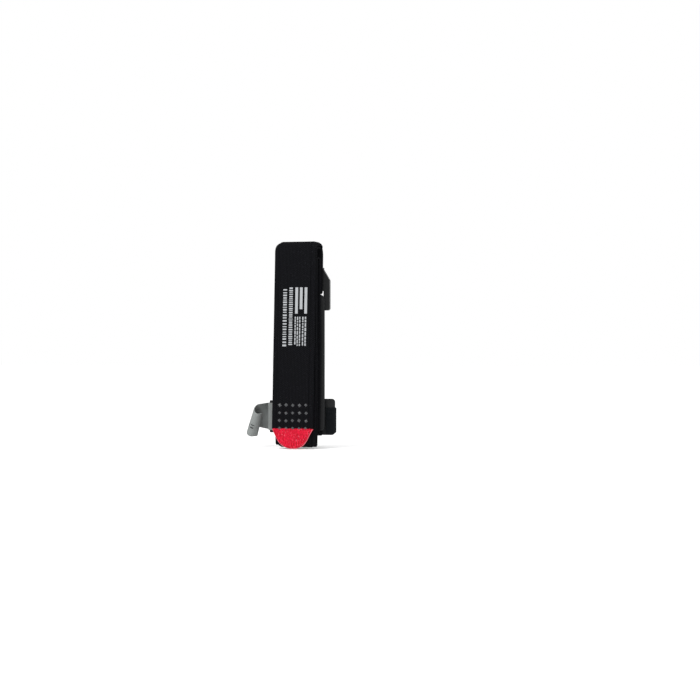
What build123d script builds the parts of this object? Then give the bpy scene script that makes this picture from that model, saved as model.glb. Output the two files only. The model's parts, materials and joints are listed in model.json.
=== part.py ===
from build123d import *
import math
import os

# A windlass tourniquet folded into a flat upright pack, ready to draw from its carrier.
# +Z runs up the pack, -Y leaves its labelled front and +X is to the right of a person
# facing that front. The origin is the middle of the folded band at mid height, where a
# carrier's elastic loop grips the pack. Millimetres.

os.makedirs("parts", exist_ok=True)

# ---- Band: a woven sleeve with a narrower pull band running free inside it
band_width = 38.0
band_thickness = 3.2
layer_gap = 0.3
pocket_width = 30.0
pocket_height = 1.5
inner_band_width = 28.0
inner_band_thickness = 1.2
sleeve_end_seal = 1.0

# ---- Pack: heights of the folds, measured in from the two ends of the pack
pack_height = 187.6
rear_fold_rise = 10.8
front_fold_rise = 1.0
inner_fold_drop = 13.8

# ---- Stiffening plate behind the windlass
plate_margin = 3.0
plate_thickness = 2.2
plate_past_eye = 7.3
plate_corner_radius = 5.0
plate_edge_round = 0.55

# ---- Buckle
buckle_drop = 23.8
buckle_height = 38.7
buckle_thickness = 5.0
buckle_rail_width = 5.5
buckle_side_gap = 1.0
buckle_side_play = 0.7
buckle_corner_radius = 2.0
cross_bar_height = 21.0
cross_bar_thickness = 2.6
shoulder_width = 6.6
shoulder_height = 11.3
groove_depth = 0.4
groove_width = 1.0
groove_pitch = 2.4
groove_count = 5
eye_bar_radius = 1.3
eye_bar_rise = 7.2
eye_gap = 0.15
eye_ply = 1.0
eye_neck = 4.0

# ---- Windlass rod
rod_length = 137.0
rod_diameter = 10.0
rod_end_round = 2.5
hub_diameter = 11.2
hub_length = 34.0
hub_taper = 3.0
rib_pitch = 4.4
rib_groove_width = 1.6
rib_groove_depth = 0.6
rib_count = 10
rod_slot_length = 26.4
rod_slot_height = 3.4

# ---- Clip that locks the rod
clip_length = 33.0
clip_rise = 0.9
wing_reach = 11.5
clip_base_thickness = 2.2
clip_corner_radius = 3.0
clip_arm_thickness = 3.5
clip_floor_half_width = 7.0
hook_thickness = 3.2
hook_lead_in = 1.6
hook_gap_clearance = 1.0
channel_side_room = 7.0
rod_to_band_clearance = 0.65
rod_to_floor_clearance = 0.2
rod_under_hook_clearance = 0.5
rod_over_hook_clearance = 0.4
clip_leg_gap = 0.6
clip_leg_thickness = 2.0
clip_leg_inset = 4.0
gusset_reach = 5.0
gusset_height = 8.0
gusset_thickness = 2.4
gusset_inset = 3.0

# ---- Pull band loop that carries the rod
loop_width = 25.0
loop_thickness = 1.6
loop_half_span = 8.0
loop_corner_radius = 2.4
window_margin = 1.2
window_half_width = 14.0
window_corner_radius = 2.0

# ---- Time strap on the clip's left wing, and the hook patch on its right wing
strap_width = 25.0
strap_thickness = 1.4
strap_slot_width = 3.4
strap_slot_end_gap = 0.6
strap_slot_end_wall = 1.65
strap_bar_width = 3.0
strap_gap = 0.2
anchor_ply = 1.2
anchor_tab_rise = 8.15
strap_axis_out = 1.0
strap_axis_up = 1.2
strap_straight = 12.0
strap_rest_angle = 195.0
roll_radius = 4.6
roll_bore_radius = 2.6
roll_length = 24.6
roll_drop = 2.4
roll_lean_side = 17.0
roll_lean_front = 20.0
patch_ply = 1.2
patch_length = 24.0
patch_end_inset = 1.0
patch_leg_gap = 0.8
patch_gusset_gap = 0.7

# ---- Free tail on the front, and its tip
hinge_drop = 16.0
hinge_gap = 0.2
tail_lean = 3.2
tip_height = 18.0
tongue_length = 24.0
tongue_thickness = 1.0
tail_pocket_margin = 6.0

# ---- Sewing
stitch_length = 2.6
stitch_width = 0.7
stitch_rise = 0.45
stitch_side_margin = 1.9
stitch_columns = 9
stitch_row_pitch = 2.2
stitch_edge_gap = 2.2
eye_stitch_rows = 4
window_stitch_rows = 2

# Depths of the layers, from the tail at the front to the windlass band at the back
layer_pitch = band_thickness + layer_gap
half_band = band_thickness / 2
half_width = band_width / 2
stack_depth = 5 * band_thickness + plate_thickness + 5 * layer_gap
front_y = -stack_depth / 2
tail_y = front_y + half_band
outer_y = tail_y + layer_pitch
middle_y = outer_y + layer_pitch
inner_y = middle_y + layer_pitch
plate_y = inner_y + half_band + layer_gap + plate_thickness / 2
windlass_y = plate_y + plate_thickness / 2 + layer_gap + half_band
back_y = windlass_y + half_band

# Depths at the buckle, where the band passes round the lower edge of the cross bar
bar_half = cross_bar_thickness / 2
descend_y = inner_y + layer_pitch
buckle_y = descend_y + half_band + layer_gap + bar_half
return_y = buckle_y + bar_half + layer_gap + half_band

# Heights and radii of the folds
pack_top_z = pack_height / 2
pack_bottom_z = -pack_height / 2
rear_fold_radius = (windlass_y - inner_y) / 2
rear_fold_z = pack_bottom_z + rear_fold_rise + half_band + rear_fold_radius
tight_fold_radius = layer_pitch / 2
front_fold_z = pack_bottom_z + front_fold_rise + half_band + tight_fold_radius
inner_fold_z = pack_top_z - inner_fold_drop - half_band - tight_fold_radius
over_top_radius = (descend_y - outer_y) / 2
over_top_z = pack_top_z - layer_pitch - half_band - over_top_radius
front_corner_radius = over_top_radius + layer_pitch
back_corner_radius = return_y - (outer_y + over_top_radius)
back_corner_z = pack_top_z - half_band - back_corner_radius
hinge_z = pack_top_z - hinge_drop
tail_length = hinge_z - pack_bottom_z

# Buckle heights
buckle_top_z = pack_top_z - buckle_drop
buckle_bottom_z = buckle_top_z - buckle_height
turn_z = buckle_top_z - cross_bar_height + bar_half
turn_radius = (return_y - descend_y) / 2
eye_z = buckle_bottom_z + eye_bar_rise
eye_hole_radius = eye_bar_radius + eye_gap
plate_bottom_z = rear_fold_z + layer_gap
plate_length = eye_z + plate_past_eye - plate_bottom_z

# Clip and rod places
clip_bottom_z = rear_fold_z - rear_fold_radius - half_band + clip_rise
clip_middle_z = clip_bottom_z + clip_length / 2
clip_half_width = half_width + wing_reach
clip_base_top_y = back_y + clip_base_thickness
rod_radius = rod_diameter / 2
rod_z = clip_bottom_z + rod_length / 2
seated_y = return_y + half_band + rod_to_band_clearance + rod_radius
channel_floor_y = seated_y - rod_radius - rod_to_floor_clearance
hook_under_y = seated_y + rod_radius + rod_under_hook_clearance
hook_top_y = hook_under_y + hook_thickness
parked_y = hook_top_y + rod_over_hook_clearance + rod_radius
window_length = loop_width + 2 * window_margin

# Stitches share out the band's width, between plain margins
stitch_pitch = (band_width - 2 * stitch_side_margin) / stitch_columns

# Places of the time strap
bar_outer_x = -clip_half_width
bar_inner_x = bar_outer_x + strap_bar_width
anchor_outer_x = bar_outer_x - strap_gap - anchor_ply
strap_axis_x = anchor_outer_x - strap_axis_out
strap_axis_y = back_y + anchor_tab_rise + strap_axis_up


def folded_line(start_z, end_z):
    """Draws the folded band's middle line, seen from the side, from the windlass to the tail's hinge."""
    down_windlass = Line((windlass_y, start_z), (windlass_y, rear_fold_z))
    rear_fold = JernArc(down_windlass @ 1, (0, -1), rear_fold_radius, -180)
    up_inner = Line(rear_fold @ 1, (inner_y, inner_fold_z))
    inner_fold = JernArc(up_inner @ 1, (0, 1), tight_fold_radius, 180)
    down_middle = Line(inner_fold @ 1, (middle_y, front_fold_z))
    front_fold = JernArc(down_middle @ 1, (0, -1), tight_fold_radius, -180)
    up_outer = Line(front_fold @ 1, (outer_y, over_top_z))
    over_top = JernArc(up_outer @ 1, (0, 1), over_top_radius, -180)
    down_to_buckle = Line(over_top @ 1, (descend_y, turn_z))
    buckle_turn = JernArc(down_to_buckle @ 1, (0, -1), turn_radius, 180)
    up_from_buckle = Line(buckle_turn @ 1, (return_y, back_corner_z))
    back_corner = JernArc(up_from_buckle @ 1, (0, 1), back_corner_radius, 90)
    front_corner = JernArc(back_corner @ 1, (-1, 0), front_corner_radius, 90)
    Line(front_corner @ 1, (tail_y, end_z))


def leaning_strip(half, top_z, bottom_z):
    """Draws a strip of the tail, whose lower end lies a little to one side."""
    corners = []
    for side, z in ((-1, top_z), (1, top_z), (1, bottom_z), (-1, bottom_z)):
        corners.append((side * half - lean_at(z), z))
    Polygon(*corners, align=None)


def lean_at(z):
    """How far the tail's middle line has drifted to one side at a height."""
    return tail_lean * (hinge_z - z) / tail_length


# ---- Band sleeve: one woven tube, folded three times, turned round the buckle and over the top
sleeve_end_z = hinge_z + hinge_gap
eye_pocket_end_z = eye_z - eye_hole_radius - eye_neck
with BuildPart() as band_sleeve:
    with BuildSketch(Plane.YZ):
        with BuildLine():
            folded_line(eye_z, sleeve_end_z)
        trace(line_width=band_thickness)
        with Locations((buckle_y, eye_z)):
            Circle(eye_hole_radius + eye_ply)
            Circle(eye_hole_radius, mode=Mode.SUBTRACT)
    extrude(amount=half_width, both=True)
    with BuildSketch(Plane.YZ):
        with BuildLine():
            folded_line(rod_z, sleeve_end_z + sleeve_end_seal)
        trace(line_width=pocket_height)
        with BuildLine():
            Line((windlass_y, rod_z), (windlass_y, eye_pocket_end_z))
        trace(line_width=pocket_height)
    extrude(amount=pocket_width / 2, both=True, mode=Mode.SUBTRACT)
    with BuildSketch(Plane.XZ.offset(-back_y)):
        with Locations((0, rod_z)):
            RectangleRounded(2 * window_half_width, window_length, window_corner_radius)
    extrude(amount=half_band + pocket_height / 2, mode=Mode.SUBTRACT)
band_sleeve.part.label = "band_sleeve"
export_step(band_sleeve.part, "parts/band_sleeve.step")

# ---- Pull band inside the sleeve: the long run, and its short fixed end by the buckle
with BuildPart() as inner_band_run:
    with BuildSketch(Plane.YZ):
        with BuildLine():
            folded_line(rod_z - window_length / 2, sleeve_end_z + 2 * sleeve_end_seal)
        trace(line_width=inner_band_thickness)
    extrude(amount=inner_band_width / 2, both=True)
inner_band_run.part.label = "inner_band_run"
export_step(inner_band_run.part, "parts/inner_band_run.step")

with BuildPart() as inner_band_buckle_end:
    with BuildSketch(Plane.YZ):
        with BuildLine():
            window_top = (windlass_y, rod_z + window_length / 2)
            Line(window_top, (windlass_y, eye_pocket_end_z - sleeve_end_seal))
        trace(line_width=inner_band_thickness)
    extrude(amount=inner_band_width / 2, both=True)
inner_band_buckle_end.part.label = "inner_band_buckle_end"
export_step(inner_band_buckle_end.part, "parts/inner_band_buckle_end.step")

# ---- Stiffening plate: lies against the skin side of the windlass band
with BuildPart() as stabiliser_plate:
    with BuildSketch(Plane.XZ.offset(-plate_y)):
        with Locations((0, plate_bottom_z + plate_length / 2)):
            RectangleRounded(band_width + 2 * plate_margin, plate_length, plate_corner_radius)
    extrude(amount=plate_thickness / 2, both=True)
    fillet(stabiliser_plate.edges().group_by(Axis.Y)[0], plate_edge_round)
stabiliser_plate.part.label = "stabiliser_plate"
export_step(stabiliser_plate.part, "parts/stabiliser_plate.step")

# ---- Buckle: two rails, a grooved cross bar for the band and a round bar for the sleeve's eye.
# It has slid to one side on the band, within the gap that the rails leave.
buckle_inner_half = half_width + buckle_side_gap
buckle_left_x = buckle_side_play - buckle_inner_half - buckle_rail_width
buckle_right_x = buckle_side_play + buckle_inner_half + buckle_rail_width
cross_bar_middle_z = (turn_z + buckle_top_z) / 2
buckle_middle_z = (buckle_bottom_z + buckle_top_z) / 2
opening_cut_height = 2 * buckle_height
with BuildPart() as buckle:
    with BuildSketch(Plane.XZ.offset(-buckle_y)):
        with BuildLine():
            Polyline(
                (buckle_left_x, buckle_bottom_z),
                (buckle_left_x, buckle_top_z - shoulder_height),
                (buckle_left_x + shoulder_width, buckle_top_z),
                (buckle_right_x - shoulder_width, buckle_top_z),
                (buckle_right_x, buckle_top_z - shoulder_height),
                (buckle_right_x, buckle_bottom_z),
                close=True,
            )
        make_face()
        fillet(vertices(), buckle_corner_radius)
        with Locations((buckle_side_play, buckle_middle_z)):
            Rectangle(2 * buckle_inner_half, opening_cut_height, mode=Mode.SUBTRACT)
    extrude(amount=buckle_thickness / 2, both=True)
    with Locations((buckle_side_play, buckle_y, cross_bar_middle_z)):
        Box(2 * buckle_inner_half, cross_bar_thickness, buckle_top_z - turn_z)
    with Locations((buckle_side_play, buckle_y, turn_z)):
        Cylinder(bar_half, 2 * buckle_inner_half, rotation=(0, 90, 0))
    with Locations((buckle_side_play, buckle_y, eye_z)):
        Cylinder(eye_bar_radius, 2 * buckle_inner_half, rotation=(0, 90, 0))
    for row in range(groove_count):
        with Locations((buckle_side_play, buckle_y + bar_half, turn_z + (row + 1) * groove_pitch)):
            Box(2 * buckle_inner_half, 2 * groove_depth, groove_width, mode=Mode.SUBTRACT)
buckle.part.label = "buckle"
export_step(buckle.part, "parts/buckle.step")

# ---- Windlass clip: a channel with two hooks, on legs that straddle the band and meet the plate
channel_half_width = rod_radius + channel_side_room
arm_outer_x = channel_half_width + clip_arm_thickness
hook_half_gap = (rod_diameter + hook_gap_clearance) / 2
leg_middle_x = half_width + clip_leg_gap + clip_leg_thickness / 2
leg_depth = back_y - (plate_y + plate_thickness / 2)
gusset_low_z = clip_bottom_z + gusset_inset
gusset_high_z = clip_bottom_z + clip_length - gusset_inset - gusset_thickness
left_slot_length = strap_width + 2 * strap_slot_end_gap
left_wing_length = left_slot_length + 2 * strap_slot_end_wall
left_wing_trim = (clip_length - left_wing_length) / 2
left_trim_width = clip_half_width - (leg_middle_x + clip_leg_thickness / 2 + clip_leg_gap)
with BuildPart() as windlass_clip:
    with BuildSketch(Plane.XZ.offset(-back_y)):
        with Locations((0, clip_middle_z)):
            RectangleRounded(2 * clip_half_width, clip_length, clip_corner_radius)
    extrude(amount=-clip_base_thickness)
    with BuildSketch(Plane.XY.offset(clip_bottom_z)):
        with Locations((0, (clip_base_top_y + channel_floor_y) / 2)):
            Rectangle(2 * clip_floor_half_width, channel_floor_y - clip_base_top_y)
        for side in (-1, 1):
            with BuildLine():
                Polyline(
                    (side * channel_half_width, clip_base_top_y),
                    (side * channel_half_width, hook_under_y),
                    (side * hook_half_gap, hook_under_y),
                    (side * hook_half_gap, hook_top_y - hook_lead_in),
                    (side * (hook_half_gap + hook_lead_in), hook_top_y),
                    (side * (arm_outer_x - hook_lead_in), hook_top_y),
                    (side * arm_outer_x, hook_top_y - hook_lead_in),
                    (side * arm_outer_x, clip_base_top_y),
                    close=True,
                )
            make_face()
    extrude(amount=clip_length)
    for gusset_z in (gusset_low_z, gusset_high_z):
        with BuildSketch(Plane.XY.offset(gusset_z)):
            for side in (-1, 1):
                with BuildLine():
                    Polyline(
                        (side * arm_outer_x, clip_base_top_y),
                        (side * (arm_outer_x + gusset_reach), clip_base_top_y),
                        (side * arm_outer_x, clip_base_top_y + gusset_height),
                        close=True,
                    )
                make_face()
        extrude(amount=gusset_thickness)
    for side in (-1, 1):
        with Locations((side * leg_middle_x, back_y - leg_depth / 2, clip_middle_z)):
            Box(clip_leg_thickness, leg_depth, clip_length - 2 * clip_leg_inset)
    with BuildSketch(Plane.XZ.offset(-back_y)):
        with Locations((bar_inner_x + strap_slot_width / 2, clip_middle_z)):
            Rectangle(strap_slot_width, left_slot_length)
        for end in (-1, 1):
            trim_z = clip_middle_z + end * (left_wing_length + left_wing_trim) / 2
            with Locations((left_trim_width / 2 - clip_half_width, trim_z)):
                Rectangle(left_trim_width, left_wing_trim)
    extrude(amount=-clip_base_thickness, mode=Mode.SUBTRACT)
windlass_clip.part.label = "windlass_clip"
export_step(windlass_clip.part, "parts/windlass_clip.step")

# ---- Hook patch: wrapped round the right wing, where the time strap sticks down
patch_outer_x = clip_half_width + patch_ply
patch_front_x = leg_middle_x + clip_leg_thickness / 2 + patch_leg_gap
patch_back_x = arm_outer_x + gusset_reach + patch_gusset_gap
patch_middle_z = clip_bottom_z + patch_end_inset + patch_length / 2
with BuildPart() as clip_hook_patch:
    with BuildSketch(Plane.XY.offset(patch_middle_z)):
        with BuildLine():
            Polyline(
                (patch_front_x, back_y - patch_ply),
                (patch_outer_x, back_y - patch_ply),
                (patch_outer_x, clip_base_top_y + patch_ply),
                (patch_back_x, clip_base_top_y + patch_ply),
                (patch_back_x, clip_base_top_y),
                (clip_half_width, clip_base_top_y),
                (clip_half_width, back_y),
                (patch_front_x, back_y),
                close=True,
            )
        make_face()
    extrude(amount=patch_length / 2, both=True)
clip_hook_patch.part.label = "clip_hook_patch"
export_step(clip_hook_patch.part, "parts/clip_hook_patch.step")

# ---- Time strap's welded base: a loop round the left wing's outer bar, with a short tab
with BuildPart() as time_strap_anchor:
    with BuildSketch(Plane.XY.offset(clip_middle_z)):
        anchor_middle = ((bar_outer_x + bar_inner_x) / 2, (back_y + clip_base_top_y) / 2)
        with Locations(anchor_middle):
            Rectangle(
                strap_bar_width + 2 * (strap_gap + anchor_ply),
                clip_base_thickness + 2 * (strap_gap + anchor_ply),
            )
            Rectangle(
                strap_bar_width + 2 * strap_gap,
                clip_base_thickness + 2 * strap_gap,
                mode=Mode.SUBTRACT,
            )
        tab_top_y = back_y + anchor_tab_rise
        with Locations((anchor_outer_x + anchor_ply / 2, (clip_base_top_y + tab_top_y) / 2)):
            Rectangle(anchor_ply, tab_top_y - clip_base_top_y)
    extrude(amount=strap_width / 2, both=True)
time_strap_anchor.part.label = "time_strap_anchor"
export_step(time_strap_anchor.part, "parts/time_strap_anchor.step")

# ---- Time strap: the free length, swinging about the tab, with its end rolled up
strap_heading = math.radians(strap_rest_angle)
strap_plane = Plane(
    origin=(strap_axis_x, strap_axis_y, clip_middle_z),
    x_dir=(math.cos(strap_heading), math.sin(strap_heading), 0),
    z_dir=(0, 0, 1),
)
roll_centre = strap_plane.from_local_coords(
    Vector(strap_straight, roll_radius - strap_thickness / 2, -roll_drop)
)
roll_axis = Vector(
    math.tan(math.radians(roll_lean_side)),
    -math.tan(math.radians(roll_lean_front)),
    1,
)
with BuildPart() as time_strap:
    with BuildSketch(strap_plane):
        Circle(strap_thickness / 2)
        with Locations((strap_straight / 2, 0)):
            Rectangle(strap_straight, strap_thickness)
    extrude(amount=strap_width / 2, both=True)
    with BuildSketch(Plane(origin=roll_centre, z_dir=roll_axis)):
        Circle(roll_radius)
    extrude(amount=roll_length / 2, both=True)
    with BuildSketch(Plane(origin=roll_centre, z_dir=roll_axis)):
        Circle(roll_bore_radius)
    extrude(amount=roll_length, both=True, mode=Mode.SUBTRACT)
time_strap.part.label = "time_strap"
export_step(time_strap.part, "parts/time_strap.step")

# ---- Windlass rod: grooved grips either side of a hub with a slot for the pull band
hub_start = hub_length / 2
grip_start = hub_start + hub_taper
with BuildPart() as windlass_rod:
    with BuildSketch(Plane.YZ):
        with BuildLine():
            Polyline(
                (parked_y, rod_z - rod_length / 2),
                (parked_y + rod_radius, rod_z - rod_length / 2),
                (parked_y + rod_radius, rod_z - grip_start),
                (parked_y + hub_diameter / 2, rod_z - hub_start),
                (parked_y + hub_diameter / 2, rod_z + hub_start),
                (parked_y + rod_radius, rod_z + grip_start),
                (parked_y + rod_radius, rod_z + rod_length / 2),
                (parked_y, rod_z + rod_length / 2),
                close=True,
            )
        make_face()
        for side in (-1, 1):
            for rib in range(rib_count):
                groove_z = rod_z + side * (grip_start + (rib + 1) * rib_pitch)
                with Locations((parked_y + rod_radius, groove_z)):
                    Rectangle(2 * rib_groove_depth, rib_groove_width, mode=Mode.SUBTRACT)
    revolve(axis=Axis((0, parked_y, 0), (0, 0, 1)))
    fillet(windlass_rod.edges().group_by(Axis.Z)[0], rod_end_round)
    fillet(windlass_rod.edges().group_by(Axis.Z)[-1], rod_end_round)
    with BuildSketch(Plane.YZ):
        with Locations((parked_y, rod_z)):
            SlotOverall(rod_slot_length, rod_slot_height, rotation=90)
    extrude(amount=hub_diameter, both=True, mode=Mode.SUBTRACT)
windlass_rod.part.label = "windlass_rod"
export_step(windlass_rod.part, "parts/windlass_rod.step")

# ---- Pull band loop: rises from the sleeve's window, through the rod's slot and back
loop_foot_y = windlass_y - inner_band_thickness / 2
with BuildPart() as inner_band_loop:
    with BuildSketch(Plane.XY.offset(rod_z)):
        with BuildLine():
            FilletPolyline(
                (-loop_half_span, loop_foot_y),
                (-loop_half_span, parked_y),
                (loop_half_span, parked_y),
                (loop_half_span, loop_foot_y),
                radius=loop_corner_radius,
            )
        trace(line_width=loop_thickness)
    extrude(amount=loop_width / 2, both=True)
inner_band_loop.part.label = "inner_band_loop"
export_step(inner_band_loop.part, "parts/inner_band_loop.step")

# ---- Tail: the band's free end, stuck down over the front of the pack
tip_top_z = pack_bottom_z + tip_height
tail_pocket_end_z = tip_top_z + tongue_length + tail_pocket_margin
tail_top_z = hinge_z - hinge_gap
with BuildPart() as tail_panel:
    with BuildSketch(Plane.XZ.offset(-tail_y)):
        leaning_strip(half_width, tail_top_z, tip_top_z)
    extrude(amount=half_band, both=True)
    with BuildSketch(Plane.XZ.offset(-tail_y)):
        leaning_strip(pocket_width / 2, tail_top_z - sleeve_end_seal, tail_pocket_end_z)
    extrude(amount=pocket_height / 2, both=True, mode=Mode.SUBTRACT)
    with BuildSketch(Plane.XZ.offset(-(tail_y + half_band))):
        leaning_strip(half_width, tip_top_z + tongue_length, tip_top_z)
    extrude(amount=tongue_thickness, mode=Mode.SUBTRACT)
tail_panel.part.label = "tail_panel"
export_step(tail_panel.part, "parts/tail_panel.step")

with BuildPart() as tail_inner_band:
    with BuildSketch(Plane.XZ.offset(-tail_y)):
        inner_top_z = tail_top_z - 2 * sleeve_end_seal
        leaning_strip(inner_band_width / 2, inner_top_z, tail_pocket_end_z + sleeve_end_seal)
    extrude(amount=inner_band_thickness / 2, both=True)
tail_inner_band.part.label = "tail_inner_band"
export_step(tail_inner_band.part, "parts/tail_inner_band.step")

# ---- Red tip: a rounded end cap whose tongue is welded behind the tail
with BuildPart() as red_tip:
    with BuildSketch(Plane.XZ.offset(-tail_y)):
        with Locations((-lean_at(tip_top_z), tip_top_z)):
            Ellipse(half_width, tip_height)
            with Locations((0, tip_height / 2)):
                Rectangle(2 * band_width, tip_height, mode=Mode.SUBTRACT)
    extrude(amount=half_band, both=True)
    with BuildSketch(Plane.XZ.offset(-(tail_y + half_band))):
        leaning_strip(half_width, tip_top_z + tongue_length, tip_top_z)
    extrude(amount=tongue_thickness)
red_tip.part.label = "red_tip"
export_step(red_tip.part, "parts/red_tip.step")


def stitch_rows(first_z, step_z, rows):
    """Lays rows of thread across the back of the windlass band."""
    for row in range(rows):
        with Locations((0, back_y + stitch_rise / 2, first_z + row * step_z)):
            with GridLocations(stitch_pitch, 1, stitch_columns, 1):
                Box(stitch_length, stitch_rise, stitch_width)


# ---- Sewing: the eye at the buckle, and the two edges of the window
with BuildPart() as buckle_end_stitching:
    stitch_rows(eye_pocket_end_z, -stitch_row_pitch, eye_stitch_rows)
buckle_end_stitching.part.label = "buckle_end_stitching"
export_step(buckle_end_stitching.part, "parts/buckle_end_stitching.step")

with BuildPart() as window_stitching:
    window_edge_z = window_length / 2 + stitch_edge_gap
    stitch_rows(rod_z + window_edge_z, stitch_row_pitch, window_stitch_rows)
    stitch_rows(rod_z - window_edge_z, -stitch_row_pitch, window_stitch_rows)
window_stitching.part.label = "window_stitching"
export_step(window_stitching.part, "parts/window_stitching.step")
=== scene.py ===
# %% [markdown]
# # A folded windlass tourniquet
# This lesson dresses a finished CAD model. The CAD gives the places and sizes; Blender gives
# cloth that looks woven, plastic that looks moulded, thread, print and light. The model is
# loaded first and never moved. Each new piece is worked out with numpy and put into a mesh,
# and most are then told which CAD body they move with.

# %% Load the frame
import json
import math

import bmesh
import bpy
import numpy as np
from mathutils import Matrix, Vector


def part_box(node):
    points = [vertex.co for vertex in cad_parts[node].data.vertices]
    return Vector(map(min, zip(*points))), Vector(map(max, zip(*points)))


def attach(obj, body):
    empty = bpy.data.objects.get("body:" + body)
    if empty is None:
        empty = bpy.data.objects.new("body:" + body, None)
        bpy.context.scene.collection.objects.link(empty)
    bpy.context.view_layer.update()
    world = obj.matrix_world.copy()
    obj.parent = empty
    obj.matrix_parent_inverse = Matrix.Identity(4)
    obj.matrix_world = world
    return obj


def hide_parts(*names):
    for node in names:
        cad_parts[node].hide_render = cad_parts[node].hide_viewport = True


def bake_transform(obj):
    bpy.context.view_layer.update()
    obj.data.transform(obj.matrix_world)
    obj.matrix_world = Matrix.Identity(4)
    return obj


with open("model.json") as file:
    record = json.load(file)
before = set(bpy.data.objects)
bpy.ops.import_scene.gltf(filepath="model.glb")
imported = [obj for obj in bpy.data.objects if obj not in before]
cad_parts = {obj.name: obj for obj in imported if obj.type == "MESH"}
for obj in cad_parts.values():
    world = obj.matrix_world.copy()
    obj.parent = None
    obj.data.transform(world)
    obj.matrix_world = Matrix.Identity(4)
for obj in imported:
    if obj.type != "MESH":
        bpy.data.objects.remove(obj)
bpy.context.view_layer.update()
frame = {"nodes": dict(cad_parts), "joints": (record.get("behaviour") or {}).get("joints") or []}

MM = 0.001


# %% [markdown]
# ## Reading sizes off the CAD
# A scene that repeats numbers goes wrong when the CAD changes. So the band's width, thickness
# and depths are read from the boxes of the CAD nodes, and only the few sizes that no box can
# give, such as the gap between two layers, are written here.

# %% Sizes of the band and its layers
def box_mm(node):
    """The lowest and highest corner of a CAD node, in millimetres."""
    low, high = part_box(node)
    return np.array(low) / MM, np.array(high) / MM


sleeve_low, sleeve_high = box_mm("band_sleeve")
tail_low, tail_high = box_mm("tail_panel")
tip_low, tip_high = box_mm("red_tip")
plate_low = box_mm("stabiliser_plate")[0]
buckle_low, buckle_high = box_mm("buckle")
short_end_low, short_end_high = box_mm("inner_band_buckle_end")
rod_low, rod_high = box_mm("windlass_rod")

LAYER_GAP = 0.3
INNER_FOLD_DROP = 13.8
CROSS_BAR_DROP = 19.7
EYE_RISE = 7.2
half_width = (sleeve_high[0] - sleeve_low[0]) / 2
thickness = tail_high[1] - tail_low[1]
half_band = thickness / 2
pitch = thickness + LAYER_GAP
tail_y = tail_low[1] + half_band
outer_y, middle_y, inner_y, descend_y = (tail_y + pitch * k for k in (1, 2, 3, 4))
windlass_y = (short_end_low[1] + short_end_high[1]) / 2
buckle_y = (buckle_low[1] + buckle_high[1]) / 2
return_y = 2 * buckle_y - descend_y
top_z, bottom_z = sleeve_high[2], tip_low[2]
print(f"band {2 * half_width:.1f} wide and {thickness:.1f} thick, layers {pitch:.2f} apart")

# %% Heights of the folds, and the joints' places
rear_radius = (windlass_y - inner_y) / 2
rear_z = plate_low[2] - LAYER_GAP
tight_radius = pitch / 2
front_fold_z = sleeve_low[2] + half_band + tight_radius
inner_fold_z = top_z - INNER_FOLD_DROP - half_band - tight_radius
over_radius = (descend_y - outer_y) / 2
over_z = top_z - pitch - half_band - over_radius
front_radius = over_radius + pitch
back_radius = return_y - (outer_y + over_radius)
back_corner_z = top_z - half_band - back_radius
turn_z = buckle_high[2] - CROSS_BAR_DROP
turn_radius = (return_y - descend_y) / 2
eye_z = buckle_low[2] + EYE_RISE
rod_z = (rod_low[2] + rod_high[2]) / 2
rod_y = (rod_low[1] + rod_high[1]) / 2
joints = {joint["name"]: joint for joint in frame["joints"]}
hinge_z = joints["tail_peel"]["pos_m"][2] / MM
clip_z = joints["time_strap_swing"]["pos_m"][2] / MM
print(f"tail hinge at {hinge_z:.1f}, rod middle at {rod_z:.1f}, clip middle at {clip_z:.1f}")


# %% [markdown]
# ## A path made of runs and turns
# A folded strap seen from its edge is only straight runs and part circles. Walking such a
# path, like a turtle that goes forward and turns, is shorter than placing points, and gives
# at every point the heading, and so the direction across the cloth's thickness. A spline
# would round the tight folds off, so it isn't used here.

# %% Walk along runs and turns
def walk(start, heading, moves, step=2.5, turn_step=11):
    """Points, headings in radians and distance walked along a flat path.
    A run adds heading times length; a turn goes round a centre that lies one radius to the
    left (positive degrees) or right (negative degrees) of where it starts."""
    points, headings = [np.array([start], float)], [np.array([math.radians(heading)])]
    for move in moves:
        last, at = points[-1][-1], headings[-1][-1]
        if len(move) == 1:
            count = max(1, math.ceil(move[0] / step))
            share = np.arange(1, count + 1)[:, None] / count
            points.append(last + share * move[0] * np.array([math.cos(at), math.sin(at)]))
            headings.append(np.full(count, at))
        else:
            radius, degrees = move
            count = max(3, math.ceil(abs(degrees) / turn_step))
            angle = at + np.linspace(0, math.radians(degrees), count + 1)[1:]
            side = math.copysign(radius, degrees)
            centre = last + side * np.array([-math.sin(at), math.cos(at)])
            points.append(centre - side * np.stack([-np.sin(angle), np.cos(angle)], 1))
            headings.append(angle)
    points, headings = np.concatenate(points), np.concatenate(headings)
    steps = np.linalg.norm(np.diff(points, axis=0), axis=1)
    return points, headings, np.concatenate([[0], np.cumsum(steps)])


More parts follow.
